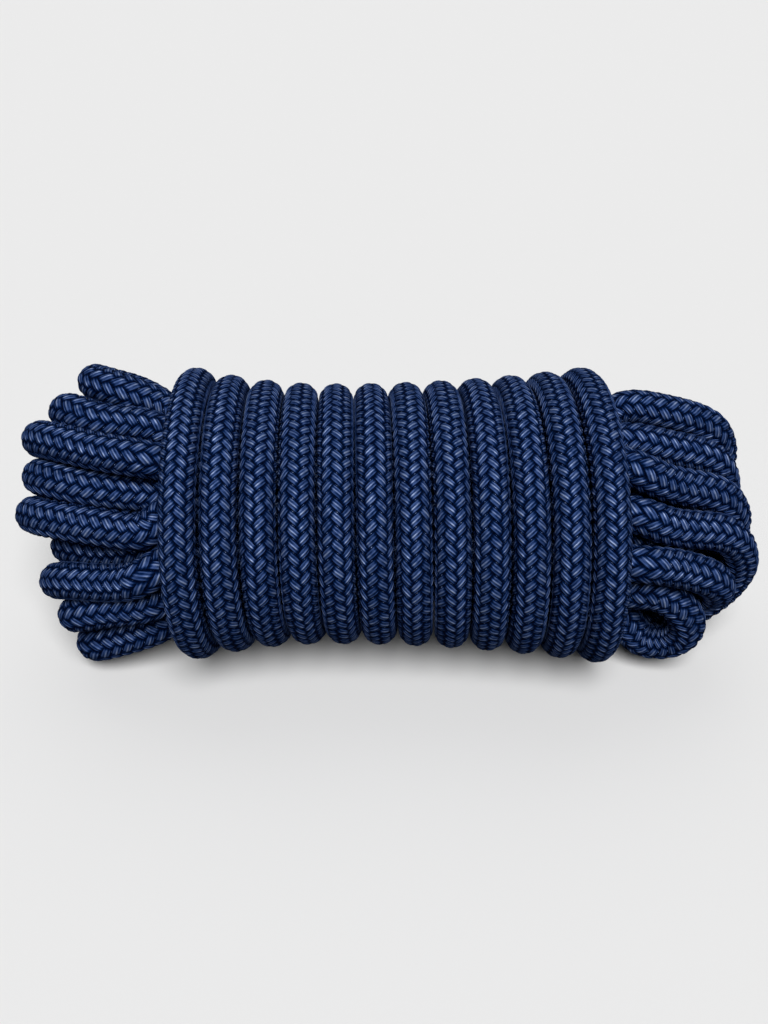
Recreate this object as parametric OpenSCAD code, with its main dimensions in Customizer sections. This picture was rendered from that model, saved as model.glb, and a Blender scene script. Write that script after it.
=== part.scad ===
// Dynamic climbing rope, sold as a hank: nineteen legs laid side by side, folded
// back in bights at both ends, and bound by twelve turns of the same rope.
// The rope is one continuous length. Each node is one stretch of it.

/* [Rope] */
// Diameter of the rope
rope_d = 10; // [8:0.1:11]
// Sides of the rope's modelled cross-section
rope_sides = 8; // [6:1:12]
// Length of the shrink sleeve on each end of the rope
sleeve_len = 14; // [8:1:18]
// Wall of the shrink sleeve
sleeve_wall = 0.5; // [0.3:0.1:0.8]
// Gap between the sleeve's bore and the rope's corners
sleeve_gap = 0.1; // [0.05:0.05:0.3]

/* [Binding turns] */
// Number of turns around the legs
turns = 12; // [8:1:16]
// Gap between neighbouring turns
turn_gap = 0.1; // [0.05:0.05:1]
// Half the depth of the turns' centre line at the waist
waist_y = 36; // [35:0.5:44]
// Half the height of the turns' centre line at the waist
waist_z = 31; // [30.5:0.5:38]
// Place of the waist along the hank
waist_x = -18; // [-30:1:30]
// How much wider the end turns are than the waist
turn_flare = 0.17; // [0.1:0.01:0.3]
// Share of a pitch that the turns advance more at the back than at the front
back_advance = 0.2; // [0:0.05:0.3]

/* [Legs and bights] */
// Gap between neighbouring legs at the waist
leg_gap = 0.3; // [0.1:0.1:1]
// How much wider the legs lie under the end turns than at the waist
leg_flare = 0.28; // [0.2:0.01:0.4]
// Lean of the fan of bights, back from upright
lean = 35; // [20:1:50]

/* [Hidden] */
rope_r = rope_d/2;
turn_pitch = rope_d + turn_gap;
leg_pitch = rope_d + leg_gap;
half_len = turns*turn_pitch/2;
turn_steps = 20;
join_steps = 17;
tail_steps = 4;
leg_steps = 2;
tip_steps = 4;
curve_steps = 2;
seal_len = 1.5;
mouth_x = half_len + 5.4;
start_len = 22;

// Places of the legs in the stack, as [half steps of rise, columns of depth]
F1 = [4, 0];
F2 = [3, 1];
F3 = [2, 2];
F4 = [1, 1];
F5 = [0, 2];
F6 = [-1, 1];
F7 = [-2, 2];
F8 = [-3, 1];
F9 = [-4, 0];
MIDDLE = [0, 0];
B1 = [3, -1];
B2 = [2, 0];
B3 = [2, -2];
B4 = [1, -1];
B5 = [0, -2];
B6 = [-1, -1];
B7 = [-2, -2];
B8 = [-2, 0];
B9 = [-3, -1];

// Each bight is read along the rope: first leg, [rise, depth] where it leaves the
// turns, [rise, depth] of its shoulder, [reach beyond the turns, rise] of its tip,
// then the second shoulder, the second leaving point and the second leg
LEFT_BIGHTS = [
    [F1, [30, 2], [34, 5], [27, 38.5], [36, -17], [29, -14], B1],
    [F2, [23, 14], [25, 17], [32, 28], [22, -6], [17, -1], B2],
    [F3, [14, 26], [16, 25], [40, 20.5], [14, -20], [16, -25], B3],
    [F4, [5, 16], [6.5, 20], [40, 10], [5, -14], [7, -14], B4],
    [F5, [-5, 25], [-4, 25], [42, -0.5], [-4, -22], [-1, -25], B5],
    [F6, [-9, 13], [-11, 10], [34, -10], [-14, -17], [-9, -14], B6],
    [F7, [-17, 26], [-19, 23], [36, -20], [-23, -25], [-16, -26], B7],
    [F8, [-25, 14], [-27, 14], [30, -29], [-27, -7], [-18, -1], B8],
    [F9, [-32, 1], [-37, 0], [28, -38], [-34, -16], [-25, -14], B9]
];
RIGHT_BIGHTS = [
    [F1, [30, 2], [28.5, 4], [37, 15.5], [4, -27], [12, -25], B3],
    [F2, [20, 12], [18, 11], [36, 5.5], [-8, -22], [-1, -25], B5],
    [F3, [11, 24], [8, 22], [36.5, -5], [-18, -18], [-14, -24], B7],
    [F5, [-1, 25], [-4, 23], [38, -16], [-34, -15], [-24, -14], B9],
    [F7, [-14, 26], [-15, 23], [30, -22], [-24, -5], [-17, -1], B8],
    [F8, [-22, 13], [-22, 14], [23, -33], [-37, -3], [-30, 0], F9]
];
INNER_FOLDS = [
    [F4, [7, 13], [7, 11], [19, 8], [13, -3], [14, 0], B2],
    [F6, [-8, 12], [-8, 12], [24, -5], [-1, -2], [0, 0], MIDDLE],
    [B6, [-9, -13], [-11, -11], [17, -3], [4, -13], [8, -14], B4]
];
// Where the lead leaves the turns, as [rise, depth], and its free points on the way
// to the binding turns, as [beyond the turns, y, z] from the hank's axis
LEAD_MOUTH = [25, -14];
LEAD = [[7, 22, 10], [15, 30, 10], [14, 40, 3]];

function two_digits(i) = i < 10 ? str("0", i) : str(i);
function numbered(name, count) = [for (i = [1:count]) str(name, two_digits(i))];

function unit(v) = v/norm(v);
function square_to(v, axis) = unit(v - axis*(v*axis));
function reversed(list) = [for (i = [len(list) - 1:-1:0]) list[i]];

// A step of rise and of depth in the leaning fan, as [y, z]
function fan(rise, depth) = [
    rise*sin(lean) - depth*cos(lean),
    rise*cos(lean) + depth*sin(lean)
];

// How much wider than the waist the hank is at x
function swell(x, flare) = let (
    reach = x < waist_x ? half_len + waist_x : half_len - waist_x
) 1 + flare*pow((x - waist_x)/reach, 2);

function leg_point(leg, x, width) = [
    x,
    each (width*fan(leg[0]*leg_pitch/2, leg[1]*leg_pitch*sqrt(3)/2))
];

// Half of a leg, from the middle of the hank to the end of the turns
function half_leg(leg, side) = [for (i = [0:leg_steps])
    let (x = side*half_len*i/leg_steps)
    leg_point(leg, x, swell(x, leg_flare))
];

// Where a leg leaves the turns, at a place in the fan
function mouth(place, side) = [side*mouth_x, each fan(place[0], place[1])];

// Half an ellipse from shoulder to shoulder, drawn towards the height of its tip
function tip_arc(place_a, tip, place_b, side) = let (
    a = fan(place_a[0], place_a[1]),
    b = fan(place_b[0], place_b[1]),
    up = fan(tip[1] - (place_a[0] + place_b[0])/2, 0),
    r = norm(a - b)/2
) [for (i = [0:tip_steps]) let (t = 180*i/tip_steps) [
    side*(half_len + tip[0] - r + r*sin(t)),
    each ((a + b)/2 + (a - b)/2*cos(t) + up*sin(t))
]];

// A bight with half of each of its two legs
function bight_route(bight, side) = concat(
    half_leg(bight[0], side),
    [mouth(bight[1], side)],
    tip_arc(bight[2], bight[3], bight[4], side),
    [mouth(bight[5], side)],
    reversed(half_leg(bight[6], side))
);

// A smooth curve through the points between the first and the last one
function knot(a, b) = sqrt(norm(b - a));
function blend(a, b, from, to, t) = ((to - t)*a + (t - from)*b)/(to - from);
function smooth(points) = [
    for (i = [1:len(points) - 3]) let (
        p = [for (k = [-1:2]) points[i + k]],
        t0 = 0,
        t1 = t0 + knot(p[0], p[1]),
        t2 = t1 + knot(p[1], p[2]),
        t3 = t2 + knot(p[2], p[3])
    ) for (k = [0:curve_steps - 1]) let (
        t = t1 + (t2 - t1)*k/curve_steps,
        a1 = blend(p[0], p[1], t0, t1, t),
        a2 = blend(p[1], p[2], t1, t2, t),
        a3 = blend(p[2], p[3], t2, t3, t)
    ) blend(blend(a1, a2, t0, t2, t), blend(a2, a3, t1, t3, t), t1, t2, t),
    points[len(points) - 2]
];

// The point beyond a leg's end that squares its cut, across the middle of the hank
function beyond_leg(p) = [-p[0], p[1], p[2]];

// A point on the binding helix, t turns from the top of the first turn
function turn_point(t) = let (
    x = turn_pitch*(t - 0.25 - (turns - 1)/2 + back_advance/2*cos(360*t)),
    a = 360*t - lean,
    width = swell(x, turn_flare)
) [x, -waist_y*width*sin(a), waist_z*width*cos(a)];

function turn_route(from, steps) = [for (i = [0:steps]) turn_point(from + i/turn_steps)];

join_turn = turns - 1 + join_steps/turn_steps;
lead_route = concat(
    half_leg(B1, 1),
    [mouth(LEAD_MOUTH, 1)],
    [for (p = LEAD) p + [half_len, 0, 0]],
    [turn_point(join_turn + 1/turn_steps), turn_point(join_turn)]
);
tail_turn = -tail_steps/turn_steps;
tail_way = unit(turn_point(tail_turn) - turn_point(tail_turn + 1/turn_steps));
tail_end = turn_point(tail_turn) + (sleeve_len + 4)*tail_way;
start_end = [-half_len - start_len, 0, 0];

function curve(route) = smooth(concat(
    [beyond_leg(route[1])],
    route,
    [beyond_leg(route[len(route) - 2])]
));

// The hank's axis stands over the middle of its box, and its lowest stretch rests on
// the surface that it lies on
outline = concat(
    [for (row = LEFT_BIGHTS) each curve(bight_route(row, -1))],
    [for (row = RIGHT_BIGHTS) each curve(bight_route(row, 1))],
    turn_route(0, turns*turn_steps)
);
function extent(k) = let (v = [for (p = outline) p[k]]) [min(v), max(v)];
function middle(k) = (extent(k)[0] + extent(k)[1])/2;
axis = [
    -round(10*middle(0))/10,
    -round(10*middle(1))/10,
    ceil(10*(rope_r - extent(2)[0]))/10
];

function heading(points, i) = unit(points[i + 1] - points[i - 1]);

// Directions square to the rope, carried along it without twist
function carried(points, side_way, i = 1) = i > len(points) - 2 ? [] : let (
    n = square_to(side_way, heading(points, i))
) concat([n], carried(points, n, i + 1));

// A closed tube along the points; the first and last only set the end directions
module stretch(before, route, after, side_way = [0, 0, 1]) {
    points = concat([before], route, [after]);
    normals = carried(points, side_way);
    rings = len(route);
    corners = [for (i = [0:rings - 1]) let (
        t = heading(points, i + 1),
        n = normals[i],
        b = cross(t, n)
    ) for (j = [0:rope_sides - 1]) let (a = 360*(j + 0.5)/rope_sides)
        route[i] + rope_r*(cos(a)*n + sin(a)*b)];
    sides = [for (i = [0:rings - 2], j = [0:rope_sides - 1]) let (
        k = (j + 1)%rope_sides,
        low = i*rope_sides,
        high = low + rope_sides
    ) each [[low + j, high + k, low + k], [low + j, high + j, high + k]]];
    start_face = [for (j = [0:rope_sides - 1]) j];
    end_face = [for (j = [rope_sides - 1:-1:0]) (rings - 1)*rope_sides + j];
    color("midnightblue") translate(axis)
        polyhedron(corners, concat([start_face], sides, [end_face]), convexity = 6);
}

// Stands what is modelled along +Z at a point of the rope, facing along a way
module at_rope(point, way) {
    translate(axis + point)
        rotate([0, acos(way[2]), atan2(way[1], way[0])])
        children();
}

module wrap_turn(i) {
    steps = i < turns ? turn_steps : join_steps;
    stretch(
        turn_point(i - 1 - 1/turn_steps),
        turn_route(i - 1, steps),
        turn_point(i - 1 + (steps + 1)/turn_steps),
        [1, 0, 0]
    );
}

module bight(row, side) {
    route = curve(bight_route(row, side));
    stretch(beyond_leg(route[1]), route, beyond_leg(route[len(route) - 2]));
}

module rope_start() {
    legs = [for (i = [0:leg_steps]) let (x = -half_len*i/leg_steps) [x, 0, 0]];
    stretch([1, 0, 0], concat(legs, [start_end]), start_end - [1, 0, 0]);
}

module wrap_lead() {
    onward = turn_point(join_turn - 1/turn_steps);
    back = turn_point(join_turn + 1/turn_steps);
    route = smooth(concat([beyond_leg(lead_route[1])], lead_route, [onward]));
    stretch(beyond_leg(route[1]), route, route[len(route) - 2] + onward - back);
}

module wrap_tail() {
    stretch(
        tail_end + tail_way,
        concat([tail_end], turn_route(tail_turn, tail_steps)),
        turn_point(1/turn_steps),
        [1, 0, 0]
    );
}

// Clear shrink sleeve that keeps the sheath from slipping back at a cut end
module end_sleeve(point, way) {
    color("dimgray") at_rope(point, -way) difference() {
        cylinder(r = rope_r + sleeve_gap + sleeve_wall, h = sleeve_len, $fn = 48);
        translate([0, 0, -1])
            cylinder(r = rope_r + sleeve_gap, h = sleeve_len + 2, $fn = 48);
    }
}

// Melted end of the rope, slightly rounded at its edge
module end_seal(point, way) {
    flat_r = rope_r*cos(180/rope_sides);
    color("black") at_rope(point, way)
        cylinder(r1 = flat_r, r2 = flat_r - seal_len/2, h = seal_len, $fn = 32);
}

module sleeve_start() { end_sleeve(start_end, [-1, 0, 0]); }
module sleeve_tail() { end_sleeve(tail_end, tail_way); }
module seal_start() { end_seal(start_end, [-1, 0, 0]); }
module seal_tail() { end_seal(tail_end, tail_way); }

for (i = [1:turns])
    wrap_turn(i);
for (i = [1:len(LEFT_BIGHTS)])
    bight(LEFT_BIGHTS[i - 1], -1);
for (i = [1:len(RIGHT_BIGHTS)])
    bight(RIGHT_BIGHTS[i - 1], 1);
for (i = [1:len(INNER_FOLDS)])
    bight(INNER_FOLDS[i - 1], 1);
rope_start();
wrap_lead();
wrap_tail();
sleeve_start();
sleeve_tail();
seal_start();
seal_tail();
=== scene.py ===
import math

import bpy
import numpy as np
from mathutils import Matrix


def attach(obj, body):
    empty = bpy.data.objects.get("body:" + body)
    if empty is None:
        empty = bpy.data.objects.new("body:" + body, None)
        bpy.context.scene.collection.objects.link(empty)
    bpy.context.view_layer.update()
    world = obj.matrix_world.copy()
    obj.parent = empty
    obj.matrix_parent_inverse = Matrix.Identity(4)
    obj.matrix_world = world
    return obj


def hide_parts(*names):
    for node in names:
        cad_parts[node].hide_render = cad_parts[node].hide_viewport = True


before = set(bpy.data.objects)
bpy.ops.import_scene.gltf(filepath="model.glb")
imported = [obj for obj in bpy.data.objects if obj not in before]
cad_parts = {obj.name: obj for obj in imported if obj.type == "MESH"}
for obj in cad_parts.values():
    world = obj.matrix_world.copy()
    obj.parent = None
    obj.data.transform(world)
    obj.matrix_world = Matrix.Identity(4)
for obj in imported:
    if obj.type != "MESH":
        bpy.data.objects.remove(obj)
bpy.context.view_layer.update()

# ---- the rope, in metres ---------------------------------------------------------
ROPE_D = .010
ROPE_R = ROPE_D / 2
CORE_R = .00455           # the core under the sheath
CORE_SIDES = 8
CORE_STEP = .003          # along the rope, between two rings of the core
LINE_STEP = .0008         # between the points of the rope's centre line
EASE_REACH = 6            # points on each side over which a bend is eased
EASE_WIDTH = 2.5          # and how quickly their weight falls off
SAME_POINT = 1e-5         # points nearer to each other than this are one
TIGHT = .975              # share of its width that the rope keeps where it is pulled tight in front
FRONT_FROM = .25          # share of the waist's depth, from the axis, at which that begins
FRONT_RAMP = .3           # share over which it grows to the full
LOOSE = 1.06              # share of its width where it bends freely in a bight
LOOSE_RAMP = .008         # beyond the turns, over which it fills out
WIDTH_BLEND = 10          # points on each side over which a change of width is eased
SLEEVE_LEN = .014
END_ROOM = .012           # beyond a sleeve, where the rope keeps its plain width
TAIL_OUT = .004           # how far the tail runs on beyond a sleeve's length

# ---- the hank: legs side by side, bound by turns of the same rope ------------------
TURNS = 12
TURN_PITCH = .0101
WAIST_Y = .036            # half the depth of the turns' centre line
WAIST_Z = .031            # half their height
WAIST_X = -.018
TURN_FLARE = .17
BACK_ADVANCE = .2
LEG_PITCH = .0103
LEG_FLARE = .28
LEAN = math.radians(35)   # of the fan of bights, back from upright
AXIS = np.array([.002, -.0005, .0427])
HALF_LEN = TURNS * TURN_PITCH / 2
MOUTH_X = HALF_LEN + .0054  # where the legs leave the turns
START_LEN = .022          # from the end of the turns to the rope's start
JOIN_TURN = TURNS - .15   # where the lead runs into the binding turns
TAIL_TURN = -.2           # where the tail leaves them
SHORT_WAY = .05           # of a turn, which gives the helix's direction
TIP_STEPS = 4             # points on the arc of a bight's tip, less one

# Places of the legs in the stack: half steps of rise, columns of depth
F1, F2, F3, F4, F5 = (4, 0), (3, 1), (2, 2), (1, 1), (0, 2)
F6, F7, F8, F9 = (-1, 1), (-2, 2), (-3, 1), (-4, 0)
MIDDLE = (0, 0)
B1, B2, B3, B4, B5 = (3, -1), (2, 0), (2, -2), (1, -1), (0, -2)
B6, B7, B8, B9 = (-1, -1), (-2, -2), (-2, 0), (-3, -1)

# A bight: first leg, (rise, depth) where it leaves the turns and at its shoulder,
# (reach beyond the turns, rise) of its tip, and the same back to its second leg
LEFT = [
    (F1, (.030, .002), (.034, .005), (.027, .0385), (.036, -.017), (.029, -.014), B1),
    (F2, (.023, .014), (.025, .017), (.032, .028), (.022, -.006), (.017, -.001), B2),
    (F3, (.014, .026), (.016, .025), (.040, .0205), (.014, -.020), (.016, -.025), B3),
    (F4, (.005, .016), (.0065, .020), (.040, .010), (.005, -.014), (.007, -.014), B4),
    (F5, (-.005, .025), (-.004, .025), (.042, -.0005), (-.004, -.022), (-.001, -.025), B5),
    (F6, (-.009, .013), (-.011, .010), (.034, -.010), (-.014, -.017), (-.009, -.014), B6),
    (F7, (-.017, .026), (-.019, .023), (.036, -.020), (-.023, -.025), (-.016, -.026), B7),
    (F8, (-.025, .014), (-.027, .014), (.030, -.029), (-.027, -.007), (-.018, -.001), B8),
    (F9, (-.032, .001), (-.037, .000), (.028, -.038), (-.034, -.016), (-.025, -.014), B9),
]
RIGHT = [
    (F1, (.030, .002), (.0285, .004), (.037, .0155), (.004, -.027), (.012, -.025), B3),
    (F2, (.020, .012), (.018, .011), (.036, .0055), (-.008, -.022), (-.001, -.025), B5),
    (F3, (.011, .024), (.008, .022), (.0365, -.005), (-.018, -.018), (-.014, -.024), B7),
    (F5, (-.001, .025), (-.004, .023), (.038, -.016), (-.034, -.015), (-.024, -.014), B9),
    (F7, (-.014, .026), (-.015, .023), (.030, -.022), (-.024, -.005), (-.017, -.001), B8),
    (F8, (-.022, .013), (-.022, .014), (.023, -.033), (-.037, -.003), (-.030, .000), F9),
]
INNER = [
    (F4, (.007, .013), (.007, .011), (.019, .008), (.013, -.003), (.014, .000), B2),
    (F6, (-.008, .012), (-.008, .012), (.024, -.005), (-.001, -.002), (.000, .000), MIDDLE),
    (B6, (-.009, -.013), (-.011, -.011), (.017, -.003), (.004, -.013), (.008, -.014), B4),
]
LEAD_MOUTH = (.025, -.014)
LEAD = [(.007, .022, .010), (.015, .030, .010), (.014, .040, .003)]

# ---- the sheath: 20 strands braided two over, two under -----------------------------
CARRIERS = 20
PERIOD = 4                # crossings from one float's middle to the next
STEP = .00155             # along the rope, between one crossing and the next
STRAND_W = .0025
OVER_R = .00503           # middle of a strand where it lies over, and where it lies under
UNDER_R = .00462
EDGE_DROP = .00050        # how much lower a strand's edges are than its middle
END_TRIM = .0002          # the strands stop this short of the rope's ends
ACROSS = (-.5, -.37, -.2, 0, .2, .37, .5)
# Half of a float, from its middle to under the next strands: crossings around the
# rope, crossings along it, and share of the way up
DIVE = 1.05               # where it goes down, the one row kept where no eye reaches
HALF_FLOAT = [(0, 0, 1), (.5, .36, .93), (DIVE, .77, .5), (1.5, 1.3, 0)]
FLOAT = np.array([(-a, -l, r) for a, l, r in HALF_FLOAT[:0:-1]] + HALF_FLOAT)
FLOAT_ANGLE = math.radians(54)  # from the rope's own line
UNSEEN_SHARE = .86        # of the turns' depth and height, within which legs are out of sight
UNSEEN_ENDS = .016        # and this far in from both ends of the turns

# ---- the yarn's pattern ----------------------------------------------------------------
YARNS = 3                 # side by side in a strand, .8 mm wide each
FILAMENTS = 18            # across a strand, .14 mm wide each, as real ones are too fine to show
YARN_HEIGHT = .0002
PATCH = 1 / 420           # 2.4 mm, over which filaments lie the same way

# ---- camera and lights ----------------------------------------------------------------
CAMERA_DISTANCE = .320
CAMERA_RISE = math.radians(35)
CAMERA_LENS = 38.8        # millimetres, on the sensor below
SENSOR = 36
NEAREST = .01             # nearest that the camera sees
LOOK_AT = AXIS + np.array([-.00265, 0, 0])
PAPER = "#EBEBEB"
PAPER_BOUNCE = "#505050"  # what all rays but the camera's meet
FLOOR_HALF = 6
ROOM_LIGHT = .10
KEY_LIGHT = 3.2
BACK_LIGHT = .36


def fan(rise, depth):
    """A step of rise and of depth in the leaning fan, as y and z."""
    return np.array([
        rise * math.sin(LEAN) - depth * math.cos(LEAN),
        rise * math.cos(LEAN) + depth * math.sin(LEAN),
    ])


def swell(x, flare):
    """How much wider than the waist the hank is at x."""
    reach = HALF_LEN + WAIST_X if x < WAIST_X else HALF_LEN - WAIST_X
    return 1 + flare * ((x - WAIST_X) / reach) ** 2


def half_leg(leg, side):
    """A leg from the middle of the hank to the end of the turns."""
    places = []
    for share in (0, .5, 1):
        x = side * HALF_LEN * share
        rise, depth = leg[0] * LEG_PITCH / 2, leg[1] * LEG_PITCH * math.sqrt(3) / 2
        y, z = swell(x, LEG_FLARE) * fan(rise, depth)
        places.append((x, y, z))
    return places


def mouth(place, side):
    """Where a leg leaves the turns, at a place in the fan."""
    return [(side * MOUTH_X, *fan(*place))]


def tip_arc(first, tip, second, side):
    """Half an ellipse from shoulder to shoulder, drawn towards the height of its tip."""
    a, b = fan(*first), fan(*second)
    up = fan(tip[1] - (first[0] + second[0]) / 2, 0)
    r = np.linalg.norm(a - b) / 2
    arc = []
    for i in range(TIP_STEPS + 1):
        t = math.pi * i / TIP_STEPS
        y, z = (a + b) / 2 + (a - b) / 2 * math.cos(t) + up * math.sin(t)
        arc.append((side * (HALF_LEN + tip[0] - r + r * math.sin(t)), y, z))
    return arc


def smooth(points, steps=12):
    """A centripetal curve through the points between the first and the last one."""
    p = np.array(points, float)
    knots = np.concatenate([[0], np.cumsum(np.linalg.norm(np.diff(p, axis=0), axis=1) ** .5)])
    curve = []
    for i in range(1, len(p) - 2):
        t0, t1, t2, t3 = knots[i - 1:i + 3]
        t = np.linspace(t1, t2, steps, endpoint=False)[:, None]
        a1 = ((t1 - t) * p[i - 1] + (t - t0) * p[i]) / (t1 - t0)
        a2 = ((t2 - t) * p[i] + (t - t1) * p[i + 1]) / (t2 - t1)
        a3 = ((t3 - t) * p[i + 1] + (t - t2) * p[i + 2]) / (t3 - t2)
        b1 = ((t2 - t) * a1 + (t - t0) * a2) / (t2 - t0)
        b2 = ((t3 - t) * a2 + (t - t1) * a3) / (t3 - t1)
        curve.append(((t2 - t) * b1 + (t - t1) * b2) / (t2 - t1))
    curve.append(p[-2:-1])
    return np.concatenate(curve)


def beyond_leg(p):
    """The same leg on the other side of the hank's middle."""
    return (-p[0], p[1], p[2])


def bight(row, side):
    """A bight with half of each of its two legs."""
    route = half_leg(row[0], side) + mouth(row[1], side)
    route += tip_arc(row[2], row[3], row[4], side)
    route += mouth(row[5], side) + half_leg(row[6], side)[::-1]
    return smooth([beyond_leg(route[1]), *route, beyond_leg(route[-2])])


def turn_point(t):
    """A point on the binding helix, t turns from the top of the first turn."""
    x = TURN_PITCH * (t - .25 - (TURNS - 1) / 2 + BACK_ADVANCE / 2 * math.cos(2 * math.pi * t))
    a = 2 * math.pi * t - LEAN
    width = swell(x, TURN_FLARE)
    return np.array([x, -WAIST_Y * width * math.sin(a), WAIST_Z * width * math.cos(a)])


def turns(first, last, steps=40):
    """Points on the binding helix, so many for each turn."""
    count = round(abs(last - first) * steps)
    return [turn_point(first + (last - first) * i / count) for i in range(count + 1)]


def lead():
    """From the last leg into the binding turns."""
    route = half_leg(B1, 1) + mouth(LEAD_MOUTH, 1)
    route += [(x + HALF_LEN, y, z) for x, y, z in LEAD]
    route += [turn_point(JOIN_TURN + SHORT_WAY), turn_point(JOIN_TURN)]
    return smooth([beyond_leg(route[1]), *route, turn_point(JOIN_TURN - SHORT_WAY)])


def rope_route():
    """The whole rope from one cut end to the other, through every leg and turn."""
    folds = {}
    for side, rows in ((-1, LEFT), (1, RIGHT + INNER)):
        for row in rows:
            points = bight(row, side)
            folds[side, row[0]] = (points, row[6])
            folds[side, row[6]] = (points[::-1], row[0])
    start = [(-HALF_LEN - START_LEN, 0, 0), (-HALF_LEN, 0, 0), (-HALF_LEN / 2, 0, 0)]
    route = [np.array(start)]
    leg, side = MIDDLE, 1
    while (side, leg) in folds:
        points, leg = folds[side, leg]
        route.append(points)
        side = -side
    route.append(lead()[:-1])
    route.append(np.array(turns(JOIN_TURN, TAIL_TURN)))
    away = turn_point(TAIL_TURN) - turn_point(TAIL_TURN + SHORT_WAY)
    end = turn_point(TAIL_TURN) + away / np.linalg.norm(away) * (SLEEVE_LEN + TAIL_OUT)
    route.append(end[None])
    points = np.concatenate(route)
    apart = np.linalg.norm(np.diff(points, axis=0), axis=1) > SAME_POINT
    return points[np.concatenate([[True], apart])] + AXIS


def evenly(points, step):
    """The same line with its points the same small step apart, its bends eased."""
    along = np.concatenate([[0], np.cumsum(np.linalg.norm(np.diff(points, axis=0), axis=1))])
    count = int(along[-1] / step)
    places = np.linspace(0, along[-1], count + 1)
    line = np.stack([np.interp(places, along, points[:, k]) for k in range(3)], 1)
    weights = np.exp(-.5 * (np.arange(-EASE_REACH, EASE_REACH + 1) / EASE_WIDTH) ** 2)
    weights /= weights.sum()
    padded = np.concatenate([
        2 * line[0] - line[EASE_REACH:0:-1],
        line,
        2 * line[-1] - line[-2:-EASE_REACH - 2:-1],
    ])
    return np.stack([np.convolve(padded[:, k], weights, "valid") for k in range(3)], 1)


def carried_frames(line):
    """Directions square to the line, carried along it without twist."""
    ways = np.gradient(line, axis=0)
    ways /= np.linalg.norm(ways, axis=1)[:, None]
    normals = np.empty_like(ways)
    n = np.array([0., 0., 1.])
    for i, way in enumerate(ways):
        n = n - way * (n @ way)
        n /= np.linalg.norm(n)
        normals[i] = n
    return normals, np.cross(ways, normals)


class Rope:
    """The rope's centre line, with its directions, at any place along it."""

    def __init__(self, line):
        self.line = line
        steps = np.linalg.norm(np.diff(line, axis=0), axis=1)
        self.along = np.concatenate([[0], np.cumsum(steps)])
        self.length = self.along[-1]
        self.normals, self.binormals = carried_frames(line)
        bound = np.linalg.norm(np.diff(turns(JOIN_TURN, TAIL_TURN), axis=0), axis=1).sum()
        beyond = np.clip((np.abs(line[:, 0] - AXIS[0]) - HALF_LEN) / LOOSE_RAMP, 0, 1)
        forward = (AXIS[1] - line[:, 1]) / WAIST_Y
        over_front = np.clip((forward - FRONT_FROM) / FRONT_RAMP, 0, 1)
        turn = 1 - (1 - TIGHT) * over_front
        in_turns = self.along > self.length - bound - SLEEVE_LEN
        full = np.where(in_turns, turn, 1 + (LOOSE - 1) * beyond)
        from_end = np.minimum(self.along, self.length - self.along)
        full = np.where(from_end < SLEEVE_LEN + END_ROOM, 1, full)
        window = np.ones(2 * WIDTH_BLEND + 1)
        padded = np.pad(full, WIDTH_BLEND, "edge")
        self.fullness = np.convolve(padded, window / len(window), "valid")

    def at(self, values, s):
        """Values that are known at the line's points, read at places s along it."""
        return np.stack([np.interp(s, self.along, values[:, k]) for k in range(3)], -1)

    def surface(self, s, angle, radius):
        """Points on the rope at places s along it, angle around it and radius from it."""
        n, b = self.at(self.normals, s), self.at(self.binormals, s)
        out = np.cos(angle)[..., None] * n + np.sin(angle)[..., None] * b
        radius = radius * np.interp(s, self.along, self.fullness)
        return self.at(self.line, s) + radius[..., None] * out


def new_mesh(name, points, faces, uv, material):
    """A smooth piece from a grid's points, its four-sided faces and its UVs."""
    mesh = bpy.data.meshes.new(name)
    mesh.vertices.add(len(points))
    mesh.vertices.foreach_set("co", points.astype(np.float32).ravel())
    mesh.loops.add(faces.size)
    mesh.loops.foreach_set("vertex_index", faces.astype(np.int32).ravel())
    mesh.polygons.add(len(faces))
    mesh.polygons.foreach_set("loop_start", np.arange(0, faces.size, 4, dtype=np.int32))
    layer = mesh.uv_layers.new(name="OFBake")
    layer.data.foreach_set("uv", uv[faces.ravel()].astype(np.float32).ravel())
    mesh.update(calc_edges=True)
    mesh.shade_smooth()
    mesh.materials.append(material)
    piece = bpy.data.objects.new(name, mesh)
    bpy.context.scene.collection.objects.link(piece)
    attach(piece, "root")
    return piece


def grid_faces(rows, columns, closed=False):
    """The four-sided faces of a grid of points, closed into a tube or left open."""
    wide = columns if closed else columns - 1
    r, c = np.meshgrid(np.arange(rows - 1), np.arange(wide), indexing="ij")
    a = r * columns + c
    b = r * columns + (c + 1) % columns
    return np.stack([a, b, b + columns, a + columns], -1).reshape(-1, 4)


# ---- materials -------------------------------------------------------------------------
def colour(hex_code):
    """An sRGB hex colour as linear values."""
    values = [int(hex_code[i:i + 2], 16) / 255 for i in (1, 3, 5)]
    return [*(v / 12.92 if v <= .04045 else ((v + .055) / 1.055) ** 2.4 for v in values), 1]


def set_inputs(node, inputs):
    """Links inputs, given by name or in order, to outputs, or sets their plain values."""
    named = inputs.items() if isinstance(inputs, dict) else enumerate(inputs)
    for name, value in named:
        if isinstance(value, bpy.types.NodeSocket):
            node.id_data.links.new(value, node.inputs[name])
        else:
            node.inputs[name].default_value = value


def add_node(tree, kind, inputs, **settings):
    """Adds a node with its settings and links, and gives its outputs."""
    node = tree.nodes.new("ShaderNode" + kind)
    for name, value in settings.items():
        setattr(node, name, value)
    set_inputs(node, inputs)
    return node.outputs


def new_material(name, inputs):
    """A material whose shader has these inputs, with the shader and its node tree."""
    material = bpy.data.materials.new(name)
    material.use_nodes = True
    shader = next(n for n in material.node_tree.nodes if n.type == "BSDF_PRINCIPLED")
    set_inputs(shader, inputs)
    return material, shader, material.node_tree


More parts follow.
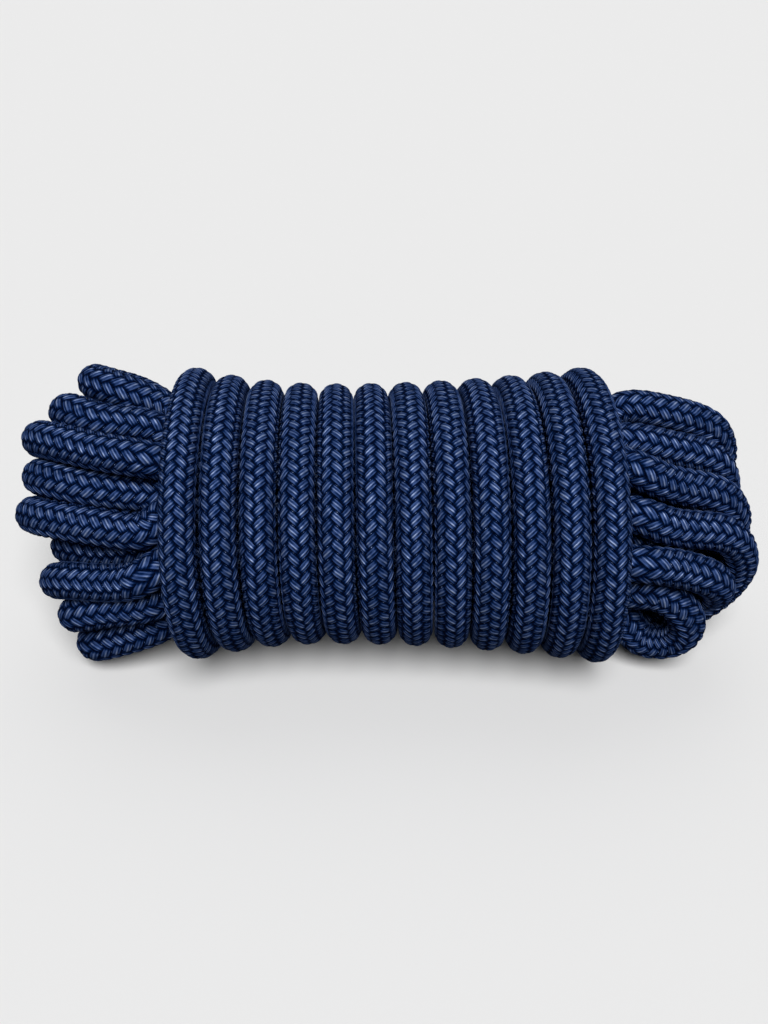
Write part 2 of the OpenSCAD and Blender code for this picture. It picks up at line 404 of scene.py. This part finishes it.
def sheath_material():
    """Braided polyamide yarn: navy, with a pale sheen across its filaments, part real and part
    painted, and painted shade where it dives.
    """
    material, shader, tree = new_material("navy polyamide yarn", {
        "Specular IOR Level": .1,
        "Specular Tint": colour("#7FA4F0"),
        "Anisotropic": .35,
    })
    uv = add_node(tree, "UVMap", [], uv_map="OFBake")["UV"]
    split = add_node(tree, "SeparateXYZ", [uv])
    across, along = split["X"], split["Y"]

    # Yarns lie side by side in a strand, each a bundle of filaments
    angle = add_node(tree, "Math", [across, 2 * math.pi * YARNS], operation="MULTIPLY")[0]
    wave = add_node(tree, "Math", [angle], operation="COSINE")[0]
    yarns = add_node(tree, "Math", [wave, -.5, .5], operation="MULTIPLY_ADD")[0]
    fine_across = add_node(tree, "Math", [across, FILAMENTS], operation="MULTIPLY")[0]
    fine_along = add_node(tree, "Math", [along, PERIOD], operation="MULTIPLY")[0]
    stretched = add_node(tree, "CombineXYZ", [fine_across, fine_along])[0]
    noise = {"Vector": stretched, "Scale": 1, "Detail": 2}
    filaments = add_node(tree, "TexNoise", noise)["Fac"]
    relief = add_node(tree, "Math", [filaments, .6, yarns], operation="MULTIPLY_ADD")[0]
    height = {"Strength": 1, "Distance": YARN_HEIGHT, "Height": relief}
    bump = add_node(tree, "Bump", height)["Normal"]

    # Painted shade: a strand is darker where it dives under its neighbours, and along its edges
    past_middle = add_node(tree, "Math", [along, .5], operation="SUBTRACT")[0]
    from_middle = add_node(tree, "Math", [past_middle], operation="ABSOLUTE")[0]
    fade = {"Value": from_middle, "From Min": .30, "From Max": .13}
    open_part = add_node(tree, "MapRange", fade, interpolation_type="SMOOTHSTEP")["Result"]
    sideways = add_node(tree, "Math", [across, 2, -1], operation="MULTIPLY_ADD")[0]
    to_edge = add_node(tree, "Math", [sideways], operation="ABSOLUTE")[0]
    edge = add_node(tree, "Math", [to_edge, 3], operation="POWER")[0]
    crown = add_node(tree, "Math", [1, edge], operation="SUBTRACT")[0]
    clear = add_node(tree, "Math", [open_part, crown], operation="MULTIPLY")[0]
    painted_dive_shade = add_node(tree, "Math", [clear, .8, .2], operation="MULTIPLY_ADD")[0]

    # Painted light: highlight on the yarns' crowns and in streaks along the filaments, painted
    # shade in the grooves between yarns. Filaments lie a little differently from patch to patch,
    # and catch more or less of that painted light
    painted_streaks = add_node(tree, "Math", [filaments, .5, .18], operation="MULTIPLY_ADD")[0]
    fibre = add_node(tree, "Math", [yarns, .26, painted_streaks], operation="MULTIPLY_ADD")[0]
    place = add_node(tree, "TexCoord", [])["Object"]
    noise = {"Vector": place, "Scale": 1 / PATCH, "Detail": 1}
    uneven = add_node(tree, "TexNoise", noise)["Fac"]
    lie = add_node(tree, "Math", [uneven, .7, .65], operation="MULTIPLY_ADD")[0]
    lit = add_node(tree, "Math", [fibre, painted_dive_shade], operation="MULTIPLY")[0]
    light = add_node(tree, "Math", [lit, lie], operation="MULTIPLY")[0]

    # The colour runs from painted shade, nearly black navy, through the yarn's own navy, to a pale
    # painted sheen on the lit crowns
    shade = add_node(tree, "ValToRGB", {"Fac": light})["Color"]
    elements = shade.node.color_ramp.elements
    # Its two ends, which the ramp comes with, and then what lies between them
    ends = [(.18, "#00061E"), (.82, "#9DAED2")]
    between = [(.38, "#051F4A"), (.58, "#425A8E")]
    for element, (position, tone) in zip(elements, ends):
        element.position = position
        element.color = colour(tone)
    for position, tone in between:
        elements.new(position).color = colour(tone)

    # Polyamide isn't a metal. Its part-metallic sheen stands for the light that taut
    # filaments throw back in one direction, as a varying specular level isn't exported
    sheen = add_node(tree, "Math", [light, .72], operation="MULTIPLY")[0]
    roughness = add_node(tree, "Math", [light, -.26, .8], operation="MULTIPLY_ADD")[0]
    tangent = add_node(tree, "Tangent", [], direction_type="UV_MAP", uv_map="OFBake")[0]
    set_inputs(shader, {
        "Base Color": shade,
        "Metallic": sheen,
        "Roughness": roughness,
        "Normal": bump,
        "Tangent": tangent,
    })
    return material


def core_material():
    """What shows between the strands: the sheath's own yarn in painted shade, dark and dull."""
    return new_material("navy yarn in painted shade under the sheath", {
        "Base Color": colour("#020C26"),
        "Roughness": .9,
        "Specular IOR Level": .05,
    })[0]


def sleeve_material():
    """Clear shrink sleeve with a slight smoke tint, smooth but not polished."""
    return new_material("smoked clear shrink sleeve", {
        "Base Color": colour("#AEB9C8"),
        "Roughness": .22,
        "Transmission Weight": .9,
        "IOR": 1.5,
    })[0]


def seal_material():
    """Polyamide yarn melted at the cut: nearly black, and glossy."""
    return new_material("melted polyamide seal", {
        "Base Color": colour("#0A1226"),
        "Roughness": .3,
    })[0]


def dress(nodes, material):
    """Gives end fittings of the frame their own finish."""
    for node in nodes:
        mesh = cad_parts[node].data
        mesh.materials.clear()
        mesh.materials.append(material)


def floor_material():
    """Matt pale grey paper. It throws little of its light back up at the rope."""
    material, shader, tree = new_material("matt pale grey paper", {
        "Roughness": 1,
        "Specular IOR Level": 0,
    })
    path = add_node(tree, "LightPath", [])
    tints = {"Factor": path["Is Camera Ray"], "A": colour(PAPER_BOUNCE), "B": colour(PAPER)}
    tint = add_node(tree, "Mix", tints, data_type="RGBA")["Result"]
    set_inputs(shader, {"Base Color": tint})
    return material


# ---- the pieces --------------------------------------------------------------------------
def make_core(rope, material):
    """The core inside the sheath, a plain tube along the whole rope with open ends."""
    s = np.arange(0, rope.length, CORE_STEP)
    s = np.append(s, rope.length)
    angle = np.arange(CORE_SIDES) * 2 * math.pi / CORE_SIDES
    where, around = np.meshgrid(s, angle, indexing="ij")
    points = rope.surface(where, around, np.full(where.shape, CORE_R)).reshape(-1, 3)
    uv = np.stack([around / 2 / math.pi, where / ROPE_D], -1).reshape(-1, 2)
    faces = grid_faces(len(s), CORE_SIDES, closed=True)
    return new_mesh("rope_core", points, faces, uv, material)


def hidden_stretches(rope, s):
    """Where a leg lies inside the binding turns, and no eye reaches it."""
    p = rope.at(rope.line, s) - AXIS
    inside = np.hypot(p[:, 1] / WAIST_Y, p[:, 2] / WAIST_Z) < UNSEEN_SHARE
    return inside & (np.abs(p[:, 0]) < HALF_LEN - UNSEEN_ENDS)


def make_strand(rope, number, material):
    """One strand of the braid, over two and under two of those that cross it."""
    # Even strands wind one way round the rope, and odd ones the other
    hand = 1 if number % 2 == 0 else -1
    first = 2 * (number // 2)
    middle = .5 if hand == 1 else 2.5
    # Crossings at which this strand's floats have their middles
    offset = (middle - first) * hand % PERIOD
    floats = np.arange(offset - PERIOD, rope.length / STEP + PERIOD, PERIOD)
    around = (floats[:, None] + FLOAT[:, 0]).ravel()
    along = (floats[:, None] + FLOAT[:, 1]).ravel() * STEP
    rise = np.tile(FLOAT[:, 2], len(floats))
    phase = np.tile(FLOAT[:, 0] / PERIOD + .5, len(floats))
    coarse = np.tile(np.abs(FLOAT[:, 0]) == DIVE, len(floats))
    inside = (along > END_TRIM) & (along < rope.length - END_TRIM)
    keep = inside & (coarse | ~hidden_stretches(rope, along))
    around, along, rise, phase = around[keep], along[keep], rise[keep], phase[keep]

    q = np.array(ACROSS) * STRAND_W
    s = along[:, None] - hand * q * math.sin(FLOAT_ANGLE)
    turn = 2 * math.pi / CARRIERS * (first + hand * around)
    angle = turn[:, None] + q * math.cos(FLOAT_ANGLE) / ROPE_R
    radius = UNDER_R + (OVER_R - UNDER_R) * rise
    drop = EDGE_DROP * np.abs(np.array(ACROSS) * 2) ** 2
    points = rope.surface(np.clip(s, 0, rope.length), angle, radius[:, None] - drop)
    u = np.broadcast_to(np.array(ACROSS) + .5, s.shape)
    v = np.broadcast_to(phase[:, None], s.shape)
    uv = np.stack([u, v], -1).reshape(-1, 2)
    faces = grid_faces(len(along), len(ACROSS))
    return new_mesh(f"sheath_strand_{number + 1:02d}", points.reshape(-1, 3), faces, uv, material)


def make_camera():
    """Square to the hank's length, looking down on it."""
    camera = bpy.data.objects.new("camera", bpy.data.cameras.new("camera"))
    bpy.context.scene.collection.objects.link(camera)
    back = np.array([0, -math.cos(CAMERA_RISE), math.sin(CAMERA_RISE)])
    camera.location = LOOK_AT + CAMERA_DISTANCE * back
    camera.rotation_euler = (math.pi / 2 - CAMERA_RISE, 0, 0)
    camera.data.lens = CAMERA_LENS
    camera.data.sensor_width = SENSOR
    camera.data.clip_start = NEAREST
    bpy.context.scene.camera = camera


def make_floor(material):
    mesh = bpy.data.meshes.new("floor")
    signs = ((-1, -1), (1, -1), (1, 1), (-1, 1))
    corners = [(x * FLOOR_HALF, y * FLOOR_HALF, 0) for x, y in signs]
    mesh.from_pydata(corners, [], [(0, 1, 2, 3)])
    mesh.materials.append(material)
    floor = bpy.data.objects.new("floor", mesh)
    bpy.context.scene.collection.objects.link(floor)


def sun(name, azimuth, elevation, spread, strength):
    """A soft white lamp far off. Azimuth 0 is behind the camera, and grows towards +X."""
    light = bpy.data.lights.new(name, "SUN")
    light.energy = strength
    light.angle = math.radians(spread)
    lamp = bpy.data.objects.new(name, light)
    bpy.context.scene.collection.objects.link(lamp)
    lamp.rotation_euler = (math.radians(90 - elevation), 0, math.radians(azimuth))


def make_world():
    """A dim white room. The camera sees it as bright as the paper."""
    world = bpy.data.worlds.new("studio")
    bpy.context.scene.world = world
    world.use_nodes = True
    tree = world.node_tree
    room = tree.nodes["Background"]
    set_inputs(room, {"Color": colour("#FFFFFF"), "Strength": ROOM_LIGHT})
    path = add_node(tree, "LightPath", [])
    seen = add_node(tree, "Background", {"Color": colour(PAPER)})[0]
    ways = [path["Is Camera Ray"], room.outputs[0], seen]
    either = add_node(tree, "MixShader", ways)
    set_inputs(tree.nodes["World Output"], {"Surface": either[0]})


make_camera()
rope = Rope(evenly(rope_route(), LINE_STEP))
yarn = sheath_material()
core = make_core(rope, core_material())
strands = [make_strand(rope, i, yarn) for i in range(CARRIERS)]
rope_nodes = [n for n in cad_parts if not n.startswith(("sleeve", "seal"))]
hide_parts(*rope_nodes)
dress(("sleeve_start", "sleeve_tail"), sleeve_material())
dress(("seal_start", "seal_tail"), seal_material())
make_floor(floor_material())
make_world()
sun("softbox", azimuth=6, elevation=52, spread=32, strength=KEY_LIGHT)
sun("back softbox", azimuth=186, elevation=60, spread=60, strength=BACK_LIGHT)

bpy.context.scene.view_settings.view_transform = "Standard"
